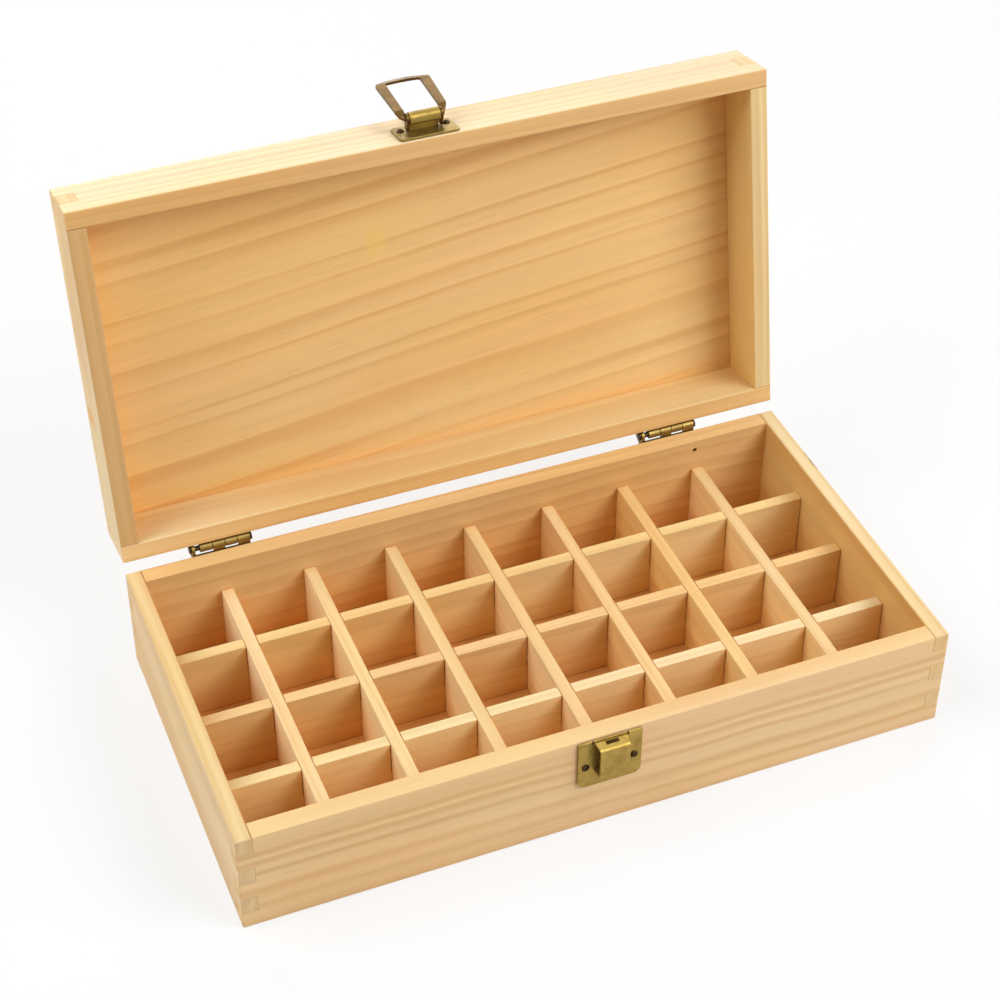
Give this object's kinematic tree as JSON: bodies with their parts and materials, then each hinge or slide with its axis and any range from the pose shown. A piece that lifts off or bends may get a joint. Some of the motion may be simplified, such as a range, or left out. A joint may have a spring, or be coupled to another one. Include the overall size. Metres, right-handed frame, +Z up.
{
  "type": "small bottle storage box",
  "caption": "Shallow hinged pine box whose base is divided into a grid of open-topped cells for small bottles, closed by a loop latch on the front.",
  "frame": {"origin": "middle of the base's underside, on the flat the box stands on", "axes": "+X to the right along the box's length, +Y from the front, where the latch is, to the back, where the hinges are, and +Z up"},
  "size_m": [0.295, 0.2287, 0.2117],
  "materials": {
    "case_pine": "planed and sanded pine, unvarnished, with end grain showing at the finger joints",
    "panel_pine": "thin pine board with wide flowing grain, unvarnished",
    "divider_pine": "thin sawn pine strips, unvarnished",
    "bronze": "antique bronze plating on stamped steel, satin, worn bright at the edges",
    "dark_bronze": "dark antique bronze plating on turned steel"
  },
  "bodies": {
    "base": {"base_front_wall": "case_pine", "base_back_wall": "case_pine", "base_left_wall": "case_pine", "base_right_wall": "case_pine", "base_bottom_panel": "panel_pine", "long_divider_1": "divider_pine", "long_divider_2": "divider_pine", "long_divider_3": "divider_pine", "cross_divider_1": "divider_pine", "cross_divider_2": "divider_pine", "cross_divider_3": "divider_pine", "cross_divider_4": "divider_pine", "cross_divider_5": "divider_pine", "cross_divider_6": "divider_pine", "cross_divider_7": "divider_pine", "hinge_left_base_leaf": "bronze", "hinge_left_pin": "dark_bronze", "hinge_left_base_screw_1": "dark_bronze", "hinge_left_base_screw_2": "dark_bronze", "hinge_right_base_leaf": "bronze", "hinge_right_pin": "dark_bronze", "hinge_right_base_screw_1": "dark_bronze", "hinge_right_base_screw_2": "dark_bronze", "latch_strike_plate": "bronze", "latch_strike_screw_1": "dark_bronze", "latch_strike_screw_2": "dark_bronze"},
    "lid": {"lid_front_wall": "case_pine", "lid_back_wall": "case_pine", "lid_left_wall": "case_pine", "lid_right_wall": "case_pine", "lid_top_panel": "panel_pine", "hinge_left_lid_leaf": "bronze", "hinge_left_lid_screw_1": "dark_bronze", "hinge_left_lid_screw_2": "dark_bronze", "hinge_right_lid_leaf": "bronze", "hinge_right_lid_screw_1": "dark_bronze", "hinge_right_lid_screw_2": "dark_bronze", "latch_lid_plate": "bronze", "latch_lid_screw_1": "dark_bronze", "latch_lid_screw_2": "dark_bronze"},
    "loop": {"latch_loop": "bronze"}
  },
  "joints": [
    {"name": "lid_hinge", "type": "hinge", "parent": "base", "child": "lid", "pos_m": [0, 0.07978, 0.0493], "axis": [1, 0, 0], "range_deg": [0, 100.8]},
    {"name": "latch_loop", "type": "hinge", "parent": "lid", "child": "loop", "pos_m": [0, 0.11662, 0.20931], "axis": [1, 0, 0], "range_deg": [0, 174.4]}
  ]
}
